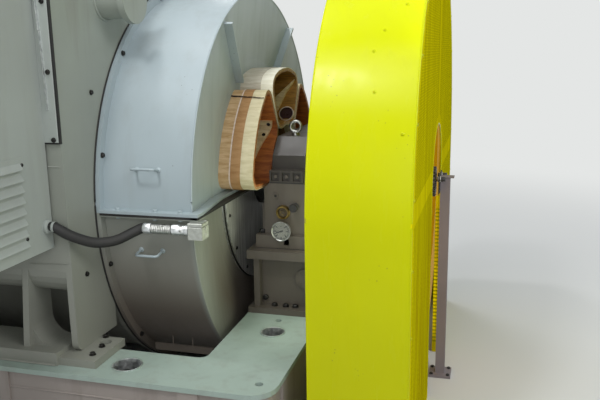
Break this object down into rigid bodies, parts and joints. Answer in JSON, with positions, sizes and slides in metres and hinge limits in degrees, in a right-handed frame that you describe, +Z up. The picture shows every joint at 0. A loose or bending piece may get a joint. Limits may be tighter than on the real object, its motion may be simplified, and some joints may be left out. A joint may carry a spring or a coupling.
{
  "type": "horizontal hydroelectric generator",
  "caption": "Horizontal generator with split end bells, plywood air collars, pedestal bearings, a turning shaft and a flywheel under a perforated guard, on a steel base frame.",
  "frame": {"origin": "on the floor under the middle of the generator frame, at the underside of the base frame", "axes": "+X along the shaft towards the flywheel, +Y across the machine away from the terminal box, +Z up"},
  "size_m": [4.358, 3.23, 2.43],
  "materials": {
    "base_paint": "satin",
    "frame_paint": "satin",
    "box_paint": "satin",
    "core_steel": "matte",
    "bell_paint": "satin",
    "bare_steel": "brushed",
    "plywood": "matte",
    "brass": "satin",
    "gauge_metal": "polished",
    "dark_steel": "matte",
    "guard_paint": "gloss",
    "post_paint": "satin",
    "black_plastic": "matte",
    "black_rubber": "matte",
    "box_metal": "satin",
    "machined_steel": "brushed",
    "winding": "matte",
    "wheel_paint": "satin"
  },
  "bodies": {
    "machine": {"base_top_plate": "base_paint", "base_outer_wall": "base_paint", "base_inner_wall": "base_paint", "end_plate_right": "frame_paint", "end_plate_left": "frame_paint", "frame_wrapper": "frame_paint", "frame_ribs": "frame_paint", "frame_feet": "frame_paint", "lifting_trunnions": "frame_paint", "terminal_box": "box_paint", "terminal_box_vents": "box_paint", "stator_core": "core_steel", "bell_upper_right": "bell_paint", "bell_lower_right": "bell_paint", "bell_upper_left": "bell_paint", "bell_lower_left": "bell_paint", "bell_straps": "bell_paint", "bell_handles": "bell_paint", "shaft_seal_plates": "bare_steel", "plywood_collar_near": "plywood", "plywood_collar_top": "plywood", "plywood_collar_far": "plywood", "pedestal_bases": "frame_paint", "bearing_housings": "frame_paint", "bearing_caps": "frame_paint", "oil_sight_glasses": "brass", "bearing_gauges": "gauge_metal", "bearing_fittings": "dark_steel", "cap_eyes": "dark_steel", "guard_rim_upper": "guard_paint", "guard_rim_lower": "guard_paint", "guard_inboard_upper": "guard_paint", "guard_inboard_lower": "guard_paint", "guard_outboard_upper": "guard_paint", "guard_outboard_lower": "guard_paint", "sensor_post": "post_paint", "sensor_head": "black_plastic", "conduit": "black_rubber", "conduit_gland": "gauge_metal", "junction_box": "box_metal"},
    "rotor": {"shaft": "machined_steel", "rotor_core": "winding", "flywheel": "wheel_paint", "toothed_wheel": "machined_steel"}
  },
  "joints": [
    {"name": "rotor_spin", "type": "hinge", "parent": "machine", "child": "rotor", "pos_m": [0, 0, 1.1], "axis": [1, 0, 0], "continuous": true}
  ]
}
